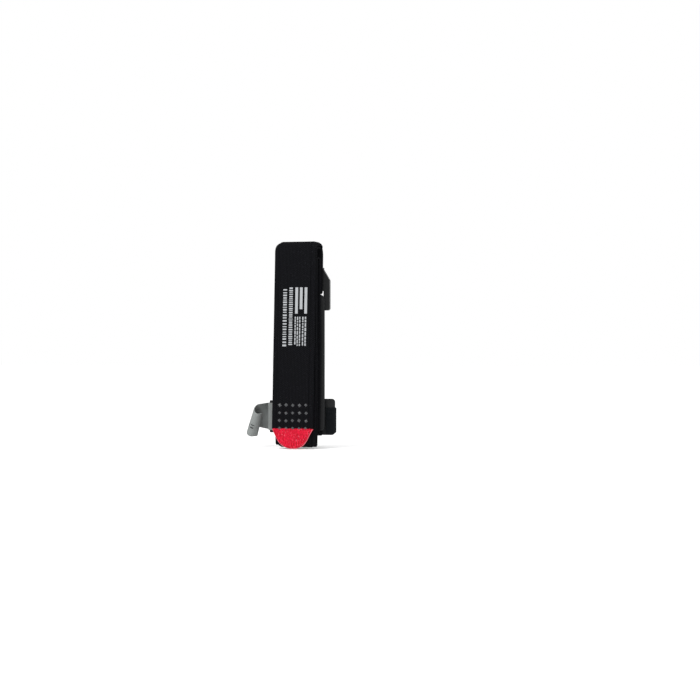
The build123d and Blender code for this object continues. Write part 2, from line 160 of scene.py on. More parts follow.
# %% The folded band's path, from the windlass to the tip
WINDOW_HALF_HEIGHT, WINDOW_HALF_WIDTH, WINDOW_EDGE = 13.7, 14.0, 0.3
EYE_JOIN = 1.6
TIP_HEIGHT = 18.0
tip_top_z = bottom_z + TIP_HEIGHT
band_start_z = eye_z - EYE_JOIN
to_window = band_start_z - (rod_z + WINDOW_HALF_HEIGHT)
band_moves = [
    (to_window - WINDOW_EDGE,), (WINDOW_EDGE,), (WINDOW_EDGE,),
    (2 * (WINDOW_HALF_HEIGHT - WINDOW_EDGE),), (WINDOW_EDGE,), (WINDOW_EDGE,),
    (rod_z - WINDOW_HALF_HEIGHT - WINDOW_EDGE - rear_z,), (rear_radius, -180),
    (inner_fold_z - rear_z,), (tight_radius, 180),
    (inner_fold_z - front_fold_z,), (tight_radius, -180),
    (over_z - front_fold_z,), (over_radius, -180),
    (over_z - turn_z,), (turn_radius, 180),
    (back_corner_z - turn_z,), (back_radius, 90), (front_radius, 90),
    (over_z - tip_top_z,),
]
band_path = walk((windlass_y, band_start_z), -90, band_moves)
print(f"band path: {len(band_path[0])} points, {band_path[2][-1]:.0f} mm long")


# %% [markdown]
# ## Ribbons
# Webbing is a flat section carried along such a path. The section is a closed loop of points,
# each with a place across the width and a height through the thickness, so the ribbon is a
# closed tube from the start, with no Solidify needed. The loop is thicker in the middle and
# thin at the woven edges, because a tubular band is two layers that join at its edges.

# %% The section of a woven band
def flat_section(half, depth, edge=0.0, edge_depth=0.0, rim=0.8):
    """A closed loop of (across, height). Height is depth in the middle, edge_depth in the
    woven edges, a little less in the groove between, and falls to nothing over the rim like
    a quarter ellipse."""
    inner = half - edge
    middle = inner * np.array([0, 0.16, 0.32, 0.48, 0.62, 0.74, 0.84, 0.915, 0.945, 0.972])
    border = inner + np.array([0, 0.4, 0.9, 1.4, 1.9, 2.4, 2.8, 3.2])
    border = border[border < half - rim] if edge else np.array([inner - rim])
    rounding = half - rim * (1 - np.sin(np.linspace(0, math.pi / 2, 6)))
    right = np.unique(np.concatenate([middle[middle < half - rim], border, rounding]))
    level = np.full(len(right), depth)
    if edge:
        level = np.where(right > inner, edge_depth, depth)
        level = np.where(np.abs(right - inner) < 0.25, 0.84 * edge_depth, level)
    past = np.clip((right - (half - rim)) / rim, 0, 1)
    level = level * np.sqrt(np.clip(1 - past**2, 0, 1))
    across = np.concatenate([-right[:0:-1], right])
    height = np.concatenate([level[:0:-1], level])
    return np.concatenate(
        [np.stack([across, height], 1), np.stack([across[-2:0:-1], -height[-2:0:-1]], 1)]
    )


def wander(along, seed, size, wave):
    """A slow drift: three sine waves of unlike lengths and seeded phases, size at most."""
    phase = np.random.default_rng(seed).uniform(0, 2 * math.pi, 3)
    waves = [np.sin(2 * math.pi * along / (wave * r) + p) for r, p in zip((1, 0.57, 0.31), phase)]
    return size * (0.55 * waves[0] + 0.3 * waves[1] + 0.15 * waves[2])


def ribbon(path, section, plane="yz", shift=0.0, bow=None):
    """Rows of points: path point + across times the sideways axis + height times the left
    normal. Plane yz carries the section along x; plane xy carries it along z."""
    flat, heading, along = path
    across, height = section[:, 0], section[:, 1]
    height = np.broadcast_to(height, (len(flat), len(height))).copy()
    if bow is not None:
        height += bow(along[:, None], across[None, :])
    normal = np.stack([-np.sin(heading), np.cos(heading)], 1)
    surface = flat[:, None, :] + height[:, :, None] * normal[:, None, :]
    sideways = across[None, :] + np.broadcast_to(shift, (len(flat),))[:, None]
    if plane == "yz":
        points = np.stack([sideways, surface[..., 0], surface[..., 1]], -1)
    else:
        points = np.stack([surface[..., 0], surface[..., 1], sideways], -1)
    cloth = np.stack(
        np.broadcast_arrays(across[None, :], along[:, None], np.sign(section[:, 1])[None, :]), -1
    )
    return points, cloth


# %% Put rows of points into a mesh
def tube_faces(rows, columns):
    """Quads between neighbouring rows, round the loop, and one many-sided cap at each end."""
    i, j = np.meshgrid(np.arange(rows - 1), np.arange(columns), indexing="ij")
    k = (j + 1) % columns
    quads = np.stack([i * columns + j, i * columns + k, (i + 1) * columns + k, (i + 1) * columns + j], -1)
    ends = [list(range(columns))[::-1], list(range((rows - 1) * columns, rows * columns))]
    return quads.reshape(-1, 4).tolist() + ends


def make_piece(name, parts, smooth_below=50):
    """One mesh object from parts, each (points in mm, cloth coordinates in mm, faces).
    Doubles are merged, faces turned outwards, and edges sharper than the limit kept crisp."""
    points, cloths, faces, start = [], [], [], 0
    for grid, cloth, part_faces in parts:
        flat = np.asarray(grid, float).reshape(-1, 3)
        points.append(flat * MM)
        cloths.append(np.asarray(cloth, float).reshape(-1, 3) * MM)
        faces += [[start + v for v in face] for face in part_faces]
        start += len(flat)
    mesh = bpy.data.meshes.new(name)
    mesh.from_pydata(np.concatenate(points).tolist(), [], faces)
    spot = mesh.attributes.new("cloth", "FLOAT_VECTOR", "POINT")
    spot.data.foreach_set("vector", np.concatenate(cloths).astype(np.float32).ravel())
    work = bmesh.new()
    work.from_mesh(mesh)
    bmesh.ops.remove_doubles(work, verts=work.verts, dist=1e-7)
    bmesh.ops.recalc_face_normals(work, faces=work.faces)
    work.to_mesh(mesh)
    work.free()
    mesh.shade_smooth()
    mesh.set_sharp_from_angle(angle=math.radians(smooth_below))
    piece = bpy.data.objects.new(name, mesh)
    bpy.context.scene.collection.objects.link(piece)
    print(f"{name}: {len(mesh.vertices)} points, {len(mesh.polygons)} faces")
    return piece


def tube(grid_and_cloth):
    """A ribbon's points as a part for make_piece."""
    grid, cloth = grid_and_cloth
    return grid, cloth, tube_faces(*grid.shape[:2])


# %% [markdown]
# ## The band
# The real band is a tube woven flat, 38 mm wide, with a smooth border along each edge. Folded
# by hand, its layers never lie quite above each other, and where it turns over the top its
# corners pull down and round off. So the ribbon drifts a little sideways and in thickness,
# and its top corners drop along a quarter circle.

# %% Band shape helpers
BORDER = 4.2
SLACK = 0.17
BORDER_DEPTH = 1.05
CORNER_REACH = 6.5
TOP_REACH, TOP_DROP_LEFT, TOP_DROP_RIGHT = 15, 5.2, 3.0
BOTTOM_REACH, BOTTOM_RISE_LEFT, BOTTOM_RISE_RIGHT = 4, 2.0, 1.2
WINDOW_SINK, WINDOW_MARGIN = 0.75, 0.05
band_section = flat_section(half_width, half_band - SLACK, BORDER, BORDER_DEPTH)


def band_bow(along, across):
    """Slow waves through the thickness, a little stronger towards the edges."""
    wave = wander(along + 0.8 * across, 3, 0.09, 61) + wander(along, 4, 0.05, 17)
    return wave * (0.6 + 0.4 * (across / half_width) ** 2)


def cut_window(points, cloth):
    """Sinks the windlass band's outer face to the far side of its pocket inside the window."""
    x, z = points[..., 0], points[..., 2]
    inside = (np.abs(cloth[..., 0]) < WINDOW_HALF_WIDTH - WINDOW_MARGIN) & (
        np.abs(z - rod_z) < WINDOW_HALF_HEIGHT - WINDOW_MARGIN
    )
    outer_face = (cloth[..., 2] > 0) & (points[..., 1] > windlass_y)
    points[..., 1] = np.where(inside & outer_face, windlass_y - WINDOW_SINK, points[..., 1])
    return points


def round_top(points):
    """Height falls by size times (height into the top)^1.5 times a quarter circle, one minus
    the root of one minus (depth into the corner)^2, more on the left than on the right."""
    x, z = points[..., 0], points[..., 2]
    rise = np.clip((z - (top_z - TOP_REACH)) / TOP_REACH, 0, 1)
    middle = (x.max(-1, keepdims=True) + x.min(-1, keepdims=True)) / 2
    across = x - middle
    reach = np.where(across < 0, CORNER_REACH, CORNER_REACH / 2)
    corner = np.clip((np.abs(across) - (half_width - reach)) / reach, 0, 1)
    size = np.where(across < 0, TOP_DROP_LEFT, TOP_DROP_RIGHT)
    points[..., 2] = z - size * rise**1.5 * (1 - np.sqrt(1 - corner**2))
    return points


def round_bottom(points):
    """The same at the lower folds: height grows by size times (depth below the start of the
    turn) times (depth into the corner)^4."""
    x, z = points[..., 0], points[..., 2]
    start_z = front_fold_z + BOTTOM_REACH
    fall = np.clip((start_z - z) / (start_z - bottom_z), 0, 1)
    corner = np.clip((np.abs(x) - (half_width - CORNER_REACH)) / CORNER_REACH, 0, 1)
    size = np.where(x < 0, BOTTOM_RISE_LEFT, BOTTOM_RISE_RIGHT)
    points[..., 2] = z + size * fall * corner**4
    return points


def lean(points):
    """The tail drifts to one side as it goes down from its hinge, in a straight line."""
    drift = (tail_low[0] + half_width) / (tip_top_z - hinge_z)
    points[..., 0] += drift * np.clip(points[..., 2] - hinge_z, None, 0)
    return points


# %% The band's whole ribbon, cut into the sleeve and its tail
SEAM_RISE = 4.0
FRONT_SLIP, WINDLASS_SLIP = -1.9, 0.3
LAYER_SLIPS = [FRONT_SLIP, -2.2, -2.0, 0.0, 1.2, WINDLASS_SLIP]
SETTLE_START, SETTLE_RUN, TAIL_REACH = 150, 60, 190
flat, along = band_path[0], band_path[2]
sideways = wander(along, 11, 0.55, 190)
settle = np.clip((along[-1] - SETTLE_START - along) / SETTLE_RUN, 0, 1)
# the layers have slid over each other: the front one most, and the back one the other way
slip = np.interp(flat[:, 0], [tail_y, outer_y, middle_y, inner_y, descend_y, windlass_y], LAYER_SLIPS)
whole, whole_cloth = ribbon(band_path, band_section, shift=sideways * settle + slip, bow=band_bow)
in_tail = (along > along[-1] - TAIL_REACH) & (flat[:, 0] < tail_y + 0.01)
first_tail = int(np.argmax(in_tail & (flat[:, 1] < hinge_z + SEAM_RISE)))
sleeve_cloth, tail_cloth = whole_cloth[: first_tail + 1], whole_cloth[first_tail:]
sleeve_grid = round_bottom(round_top(cut_window(whole[: first_tail + 1].copy(), sleeve_cloth)))
tail_grid = lean(round_top(whole[first_tail:].copy()))
seam_z = flat[first_tail, 1]
print(f"the sleeve ends and the tail starts at {seam_z:.1f} mm")

# %% The eye round the buckle's bar, and both cloth pieces
EYE_RADIUS, EYE_INSET, EYE_HALF_PLY, EYE_RIM = 1.95, 0.2, 0.46, 0.4
# the ring stops a degree short, so that its two ends stay apart
eye_path = walk((buckle_y, eye_z - EYE_RADIUS), 0, [(EYE_RADIUS, 180), (EYE_RADIUS, 179)])
eye = ribbon(eye_path, flat_section(half_width - EYE_INSET, EYE_HALF_PLY, rim=EYE_RIM))
sleeve = make_piece("band_sleeve_cloth", [tube((sleeve_grid, sleeve_cloth)), tube(eye)])
tail = make_piece("tail_panel_cloth", [tube((tail_grid, tail_cloth))])


# %% [markdown]
# ## The pull band
# A second, narrower tape runs free inside the sleeve. It only shows at the window, where it
# leaves the sleeve and carries the rod. The hidden lengths are plain ribbons on the same path.
# The loop has rows a millimetre apart, because it twists like a rope when the rod turns.

# %% Pull band pieces
PULL_HALF_WIDTH, PULL_DEPTH, PULL_RIM = 14.0, 0.55, 0.5
WINDOW_CLEAR, POCKET_RISE = 0.2, 6
pull_section = flat_section(PULL_HALF_WIDTH, PULL_DEPTH, rim=PULL_RIM)


def part_of(path, first, last):
    """The stretch of a path between two rows."""
    return tuple(values[first:last] for values in path)


below_window = int(np.argmax(flat[:, 1] < rod_z - WINDOW_HALF_HEIGHT - WINDOW_CLEAR))
above_window = int(np.argmax(flat[:, 1] < rod_z + WINDOW_HALF_HEIGHT + WINDOW_CLEAR))
tongue_top_z = tip_high[2]
tail_pocket = int(len(flat) - np.argmax(flat[::-1, 1] > tongue_top_z + POCKET_RISE))
pull_run = make_piece(
    "pull_band_run",
    [tube(ribbon(part_of(band_path, below_window + 1, first_tail), pull_section,
                 shift=slip[below_window + 1 : first_tail]))],
)
pull_short = make_piece(
    "pull_band_short_end",
    [tube(ribbon(part_of(band_path, 2, above_window - 1), pull_section, shift=WINDLASS_SLIP))],
)
pull_tail_path = part_of(band_path, first_tail + 4, tail_pocket)
pull_tail_grid, pull_tail_cloth = ribbon(pull_tail_path, pull_section, shift=FRONT_SLIP)
pull_tail = make_piece("pull_band_tail_end", [tube((lean(pull_tail_grid), pull_tail_cloth))])

# %% Pull band loop
loop_low, loop_high = box_mm("inner_band_loop")
LOOP_PLY, LOOP_ROUND, LEG_INSET = 1.5, 2.4, 0.8
LOOP_BORDER, LOOP_BORDER_DEPTH = 2.0, 0.62
# the legs start a little way up, so that a seated rod can't push them out through the front layer
LOOP_FOOT_RISE = 1.0
loop_foot_y = loop_low[1] + LOOP_FOOT_RISE
leg_x = loop_high[0] - LEG_INSET
leg_run = rod_y - LOOP_ROUND - loop_foot_y
loop_moves = [(leg_run,), (LOOP_ROUND, -90), (2 * (leg_x - LOOP_ROUND),), (LOOP_ROUND, -90), (leg_run,)]
loop_path = walk((-leg_x, loop_foot_y), 90, loop_moves, step=1.0)
loop_half = (loop_high[2] - loop_low[2]) / 2
loop_section = flat_section(loop_half, LOOP_PLY / 2, LOOP_BORDER, LOOP_BORDER_DEPTH, rim=PULL_RIM)
loop_grid, loop_cloth = ribbon(loop_path, loop_section, "xy")
loop_grid[..., 2] += rod_z
pull_loop = make_piece("pull_band_loop", [tube((loop_grid, loop_cloth))])


# %% [markdown]
# ## The red tip
# The tip is a half ellipse of red loop tape, welded behind the end of the tail by a tongue.
# It could be a flat disc cut in two; a grid whose rows shrink like a cosine follows the
# outline exactly, and its thickness can fall to nothing along the rim.

# %% Red tip
TIP_SHIFT, TIP_SLACK = 0.2, 0.12
TIP_WAVE, TIP_WAVE_RUN, TIP_WAVE_START = 0.25, 5.3, 0.7
tip_x = (tip_low[0] + tip_high[0]) / 2 + TIP_SHIFT + FRONT_SLIP
TIP_DEPTH = half_band - TIP_SLACK


def draw_in(across, down):
    """The tip's sides are cut straighter than an ellipse: across shrinks by a share times
    4 down (1 - down), which is nothing at both ends, and more on the right."""
    share = np.where(across > 0, 0.15, 0.09)
    return across * (1 - share * 4 * down * (1 - down))


def tip_grid(depth, rows=22, columns=37):
    """Across = cos(f) sin(g) and down = sin(f), times the half axes. The rim factor is
    (1 - r^10) to the power 0.5, where r is the distance from the centre in half axes."""
    f, g = np.meshgrid(
        np.linspace(0, math.pi / 2, rows), np.linspace(-math.pi / 2, math.pi / 2, columns), indexing="ij"
    )
    across, down = np.cos(f) * np.sin(g), np.sin(f)
    rim = np.sqrt(np.clip(1 - (across**2 + down**2) ** 5, 0, 1))
    x, z = half_width * draw_in(across, down), tip_top_z - TIP_HEIGHT * down
    wave = TIP_WAVE * np.sin(x / TIP_WAVE_RUN + TIP_WAVE_START) * down
    front = np.stack([x + tip_x, tail_y - depth * rim + wave * rim, z], -1)
    back = np.stack([x + tip_x, tail_y + depth * rim + wave * rim, z], -1)
    loop = np.concatenate([front, back[:, -2:0:-1]], 1)
    cloth = np.stack([loop[..., 0] - tip_x, -loop[..., 2] + tip_top_z, np.ones(loop.shape[:2])], -1)
    return loop, cloth


TONGUE_ROWS, TONGUE_LAP, TONGUE_SINK = 14, 0.2, 0.5
TONGUE_INSET, TONGUE_HALF_PLY, TONGUE_RIM = 0.3, 0.4, 0.3
tongue_heights = np.linspace(tip_top_z - TONGUE_LAP, tongue_top_z, TONGUE_ROWS)
tongue_path = (
    np.stack([np.full(TONGUE_ROWS, tail_y + half_band - TONGUE_SINK), tongue_heights], 1),
    np.full(TONGUE_ROWS, math.pi / 2),
    np.linspace(0, tongue_top_z - tip_top_z + TONGUE_LAP, TONGUE_ROWS),
)
tongue_section = flat_section(half_width - TONGUE_INSET, TONGUE_HALF_PLY, rim=TONGUE_RIM)
tongue_grid, tongue_cloth = ribbon(tongue_path, tongue_section, shift=FRONT_SLIP)
red_tip = make_piece(
    "red_tip_cloth", [tube(tip_grid(TIP_DEPTH)), tube((lean(tongue_grid), tongue_cloth))]
)


# %% [markdown]
# ## Small things by the hundred
# Loops of pile, hooks, stitches and weld points are one small shape placed many times. The
# copies are made by adding a small array to a list of places in one step, and end up in one
# mesh. Each copy is kept to a few dozen faces.

# %% A bent wire, and copies of it
def wire(points, radius, sides=3):
    """A closed thin tube along a few points, with its rings square to them."""
    points = np.asarray(points, float)
    run = np.gradient(points, axis=0)
    run /= np.linalg.norm(run, axis=1)[:, None]
    first = np.cross(run, [0.31, 0.17, 0.93])
    first /= np.linalg.norm(first, axis=1)[:, None]
    second = np.cross(run, first)
    turn = np.arange(sides) * 2 * math.pi / sides
    ring = np.cos(turn)[None, :, None] * first[:, None] + np.sin(turn)[None, :, None] * second[:, None]
    return points[:, None] + radius * ring, tube_faces(len(points), sides)


def copies(shape, places, spins=None, sizes=None):
    """The shape turned about the y axis by spins, scaled by sizes, and moved to each place."""
    grid, faces = shape
    flat = grid.reshape(-1, 3)
    count = len(places)
    spins = np.zeros(count) if spins is None else spins
    sizes = np.ones(count) if sizes is None else sizes
    c, s = np.cos(spins)[:, None], np.sin(spins)[:, None]
    x, y, z = flat[:, 0][None], flat[:, 1][None], flat[:, 2][None]
    turned = np.stack([c * x + s * z, np.broadcast_to(y, (count, len(flat))), c * z - s * x], -1)
    points = turned * np.asarray(sizes)[:, None, None] + places[:, None, :]
    all_faces = [[v + k * len(flat) for v in face] for k in range(count) for face in faces]
    spot = np.broadcast_to(places[:, None, :], points.shape)
    return points, spot, all_faces


# %% Loop pile on the red tip
rng = np.random.default_rng(7)
PILE_COUNT = 2300
PILE_HALF, PILE_RISE, PILE_SINK, PILE_TWIST, PILE_WIRE = 0.7, 0.55, 0.1, 0.16, 0.11
arch = np.linspace(0, math.pi, 6)
arch_points = [PILE_HALF * np.cos(arch), PILE_SINK - PILE_RISE * np.sin(arch), PILE_TWIST * np.cos(2 * arch)]
pile_loop = wire(np.stack(arch_points, 1), PILE_WIRE)
reach = np.sqrt(rng.uniform(0, 0.93, PILE_COUNT))
angle = rng.uniform(math.pi, 2 * math.pi, PILE_COUNT)
pile_down = -reach * np.sin(angle)
pile_x = tip_x + half_width * draw_in(reach * np.cos(angle), pile_down)
pile_z = tip_top_z + TIP_HEIGHT * reach * np.sin(angle)
rim_here = np.sqrt(1 - reach**10)
pile_wave = TIP_WAVE * np.sin((pile_x - tip_x) / TIP_WAVE_RUN + TIP_WAVE_START)
pile_y = tail_y - TIP_DEPTH * rim_here + pile_wave * (tip_top_z - pile_z) / TIP_HEIGHT
pile_places = np.stack([pile_x, pile_y, pile_z], 1)
pile_spins = rng.uniform(-0.9, 0.9, PILE_COUNT) + math.pi / 2
pile_sizes = rng.uniform(0.7, 1.25, PILE_COUNT)
pile = make_piece("red_tip_pile", [copies(pile_loop, pile_places, pile_spins, pile_sizes)])


# %% The tip's cut edge
RIM_SHARE, RIM_WIRE, RIM_SINK, RIM_ROWS = 0.985, 0.2, 0.75, 60
round_the_tip = np.linspace(0.02, math.pi - 0.02, RIM_ROWS)
rim_across = draw_in(np.cos(round_the_tip), np.sin(round_the_tip))
rim_points = np.stack(
    [
        tip_x + RIM_SHARE * half_width * rim_across,
        np.full(RIM_ROWS, tail_y - TIP_DEPTH * RIM_SINK),
        tip_top_z - RIM_SHARE * TIP_HEIGHT * np.sin(round_the_tip),
    ],
    1,
)
rim_grid, rim_faces = wire(rim_points, RIM_WIRE, sides=6)
tip_rim = make_piece("red_tip_edge", [(rim_grid, rim_grid, rim_faces)])


# %% [markdown]
# ## Weld points
# The tip is held by a grid of ultrasonic weld points: the cloth is melted and pressed into
# small shiny studs. A flat four-sided stud with a raised middle catches light like the real
# ones; a bump in the material would not show from the side.

# %% Weld points
WELD_COLUMNS, WELD_ROWS = 5, 4
WELD_PITCH_X, WELD_PITCH_Z, WELD_FIRST_Z = 6.1, 7.0, 0.4
WELD_DRIFT, WELD_DRIFT_RUN, WELD_PROUD = 0.3, 20, 0.05
WELD_JITTER, WELD_SPIN = 0.25, 0.25
stud_rings = np.array([[1.75, 0.35], [1.65, 0.05], [1.3, -0.08], [0.9, -0.3], [0.4, -0.45]])
corner_angles = np.arange(4) * math.pi / 2 + math.pi / 4
stud = np.stack(
    [
        stud_rings[:, 0][:, None] * np.cos(corner_angles)[None],
        np.broadcast_to(stud_rings[:, 1][:, None], (5, 4)),
        stud_rings[:, 0][:, None] * np.sin(corner_angles)[None],
    ],
    -1,
)
column, row = np.meshgrid(np.arange(WELD_COLUMNS) - 2, np.arange(WELD_ROWS))
weld_z = tip_top_z + WELD_FIRST_Z + WELD_PITCH_Z * row.ravel()
weld_x = tip_x + WELD_PITCH_X * column.ravel() + WELD_DRIFT * (weld_z - tip_top_z) / WELD_DRIFT_RUN
face_y = tail_y - half_band + SLACK
jitter = np.random.default_rng(5)
weld_count = len(weld_x)
weld_places = np.stack([weld_x, np.full(weld_count, face_y - WELD_PROUD), weld_z], 1)
weld_places[:, 0] += jitter.uniform(-WELD_JITTER, WELD_JITTER, weld_count)
weld_places[:, 2] += jitter.uniform(-WELD_JITTER, WELD_JITTER, weld_count)
weld_spins = jitter.uniform(-WELD_SPIN, WELD_SPIN, weld_count) + math.pi / 4
weld_sizes = jitter.uniform(0.9, 1.1, weld_count)
stud_part = (stud, tube_faces(*stud.shape[:2]))
welds = make_piece("weld_points", [copies(stud_part, weld_places, weld_spins, weld_sizes)], smooth_below=20)


# %% [markdown]
# ## The printed block
# The real tail carries a printed block in off-white ink. Names and numbers have no place
# here, so the block is plain: three thick bars, and columns of short dashes of seeded random
# length. Each is a thin strip of ink that follows the cloth, 0.06 mm proud of it.

# %% Ink strips
INK_PROUD, INK_SINK, INK_ROW = 0.06, 0.12, 1.5


def ink_strip(across, width, start, end, surface_rows, surface_at):
    """A thin closed slab between two heights on the tail, following the cloth's face."""
    rows = max(2, int(abs(end - start) / INK_ROW) + 2)
    z = np.linspace(start, end, rows)
    ring = np.array([[-0.5, -INK_PROUD], [0.5, -INK_PROUD], [0.5, INK_SINK], [-0.5, INK_SINK]])
    y = np.interp(-z, surface_rows, surface_at)
    grid = np.stack(
        [
            FRONT_SLIP + across + width * np.broadcast_to(ring[:, 0], (rows, 4)),
            y[:, None] + ring[:, 1][None],
            np.broadcast_to(z[:, None], (rows, 4)),
        ],
        -1,
    )
    return lean(grid), np.broadcast_to(grid * [1, 0, 1], grid.shape), tube_faces(rows, 4)


def dashes(across, width, start, end, lengths, gaps, seed):
    """A column of dashes down from start to end, each length and gap drawn between limits."""
    draw = np.random.default_rng(seed)
    z, strips = start, []
    while z - lengths[0] > end:
        length = draw.uniform(*lengths)
        strips.append((across, width * draw.uniform(0.82, 1.0), z, max(end, z - length)))
        z -= length + draw.uniform(*gaps)
    return strips


# the tail's outer face is the lowest y of each row near the middle of the band
middle_columns = np.abs(tail_cloth[0, :, 0]) < 12
face_rows = tail_grid[:, middle_columns, 1].min(1)
PRINT_TOP, PRINT_SPLIT, PRINT_END = 51.6, 26.0, -1.0
columns = [(2.1, 2.5, PRINT_TOP, PRINT_SPLIT + 2), (6.3, 2.5, PRINT_TOP, PRINT_SPLIT + 6),
           (10.6, 2.5, PRINT_TOP, PRINT_SPLIT + 2)]
for place, (across, width) in enumerate([(1.2, 1.2), (3.3, 1.2), (5.4, 1.2), (8.2, 1.3), (10.6, 1.5)]):
    columns += dashes(across, width, PRINT_SPLIT - 0.8, PRINT_END, (1.1, 3.6), (0.5, 0.9), 20 + place)
columns += dashes(-3.1, 3.6, PRINT_TOP, PRINT_END, (0.7, 1.5), (0.55, 1.0), 31)
columns += dashes(-8.6, 3.7, PRINT_TOP - 1.5, PRINT_END - 1, (0.8, 1.7), (0.8, 1.6), 33)
print_block = make_piece(
    "tail_print", [ink_strip(*strip, -flat[first_tail:, 1], face_rows) for strip in columns]
)


# %% [markdown]
# ## The time strap
# One soft tape goes round the outer bar of the clip's left wing, is welded to itself, rises as
# a short tab, and ends in a curl that leans towards the viewer. The path is walked flat. Past
# the tab each point slides sideways with its height, so the curl's axis tips without the
# cloth stretching much.

# %% Time strap path and lean
anchor_low, anchor_high = box_mm("time_strap_anchor")
STRAP_WIDTH, STRAP_HALF_PLY = 25.0, 0.5
STRAP_HEADING, STRAP_STRAIGHT, CURL_RADIUS = 195, 12.6, 4.5
LEAN_SIDE, LEAN_FRONT, STRAP_DROP = 0.40, -0.42, 0.5
CURL_DROP, CURL_FLARE = -8.6, 0.13
CURL_TURNS, CURL_TURN, CURL_TIGHTENING = 9, 40, 0.12
RING_INSET, RING_DEPTH, LAP_OUT, CORNER = 0.6, 4.4, 1.15, 0.9
LAP_Y, TAB_Y, TAB_ROUND = 17.0, 17.5, 1.6
ring_out_x = anchor_low[0] + RING_INSET
ring_in_x = anchor_high[0] - RING_INSET
ring_front_y, ring_back_y = anchor_low[1] + RING_INSET, anchor_low[1] + RING_DEPTH
lap_x = ring_out_x + LAP_OUT
curl_moves = [(CURL_RADIUS - CURL_TIGHTENING * k, CURL_TURN) for k in range(CURL_TURNS)]
strap_moves = [
    (LAP_Y - ring_back_y - CORNER,), (CORNER, 90), (ring_in_x - lap_x - 2 * CORNER,), (CORNER, -90),
    (ring_back_y - ring_front_y - 2 * CORNER,), (CORNER, -90), (ring_in_x - ring_out_x - 2 * CORNER,),
    (CORNER, -90), (TAB_Y - ring_front_y - CORNER,), (TAB_ROUND, STRAP_HEADING - 90), (STRAP_STRAIGHT,),
    *curl_moves,
]
strap_path = walk((lap_x, LAP_Y), -90, strap_moves, step=0.8, turn_step=9)
strap_grid, strap_cloth = ribbon(strap_path, flat_section(STRAP_WIDTH / 2, STRAP_HALF_PLY, rim=0.35), "xy")
print(f"time strap: {strap_path[2][-1]:.0f} mm of tape")

# %% Tip the curl over
HINGE_Y, PAST_RING, LEAN_PAST = 17.6, 20, 2
strap_along = strap_path[2]
hinge_along = strap_along[int(np.argmax((strap_path[0][:, 1] > HINGE_Y) & (strap_along > PAST_RING)))]
curl_along = hinge_along + STRAP_STRAIGHT + LEAN_PAST
past = np.clip((strap_along - hinge_along) / (curl_along - hinge_along), 0, 1)
past = (past * past * (3 - 2 * past))[:, None]
curl_row = int(np.argmax(strap_along > curl_along))
curl_turn = strap_path[1][curl_row]
curl_middle = strap_path[0][curl_row] + CURL_RADIUS * np.array([-math.sin(curl_turn), math.cos(curl_turn)])
half_turn = math.pi * CURL_RADIUS
curled = np.clip((strap_along - curl_along) / half_turn, 0, 1)[:, None]
curled = curled * curled * (3 - 2 * curled)


def tip_over(grid, share, curl):
    """Widens the curl towards its foot, adds to x and y the height above the strap's middle
    times the two lean slopes, and lets the strap sag and wind down like a screw. The lean and
    the sag grow with the share of the way from the tab to the curl; the widening and the
    winding grow over the curl's first half turn."""
    up = grid[..., 2].copy()
    flare = 1 - CURL_FLARE * curl * up / (STRAP_WIDTH / 2)
    for place in (0, 1):
        grid[..., place] = curl_middle[place] + (grid[..., place] - curl_middle[place]) * flare
    squeeze = 1 / math.sqrt(1 + LEAN_SIDE**2 + LEAN_FRONT**2)
    grid[..., 0] += LEAN_SIDE * squeeze * up * share
    grid[..., 1] += LEAN_FRONT * squeeze * up * share
    grid[..., 2] = up * (1 - (1 - squeeze) * share) + STRAP_DROP * share + CURL_DROP * curl + clip_z
    return grid


curl_wave = 0.35 * np.sin(strap_along / 4.1)[:, None] * past
strap_grid[..., 2] += curl_wave
strap = make_piece("time_strap_cloth", [tube((tip_over(strap_grid, past, curled), strap_cloth))])

# %% Plain marks on the curl
MARKS_START, MARKS_END, MARK_PROUD, MARK_SINK = 4.5, 14, 0.05, 0.1
# each mark's start and end as shares of the marked stretch, and its low and high edge in mm
MARKS = [
    (0.0, 0.44, -5.0, -3.9), (0.0, 0.44, -1.7, -0.6), (0.0, 0.1, -5.0, -0.6),
    (0.34, 0.44, -5.0, -0.6), (0.62, 0.98, -4.1, -2.8), (0.62, 0.98, -1.1, -0.1),
]
rows = np.flatnonzero((strap_along > curl_along + MARKS_START) & (strap_along < curl_along + MARKS_END))
face, sunk = -STRAP_HALF_PLY - MARK_PROUD, -STRAP_HALF_PLY + MARK_SINK
marks = []
for start, end, low, high in MARKS:
    first, last = rows[int(start * len(rows))], rows[min(len(rows) - 1, int(end * len(rows)))]
    last = max(last, first + 2)
    ring = np.array([[low, face], [high, face], [high, sunk], [low, sunk]])
    mark_grid, mark_cloth = ribbon(part_of(strap_path, first, last), ring, "xy")
    mark_grid[..., 2] += curl_wave[first:last]
    marks.append(tube((tip_over(mark_grid, past[first:last], curled[first:last]), mark_cloth)))
strap_print = make_piece("time_strap_marks", marks)


# %% [markdown]
# ## Hook patch and sewing
# The hook patch is a strip folded over the clip's right wing, with rows of small stiff hooks
# on both faces. The sewing is thread that dips into the cloth at the ends of each stitch.

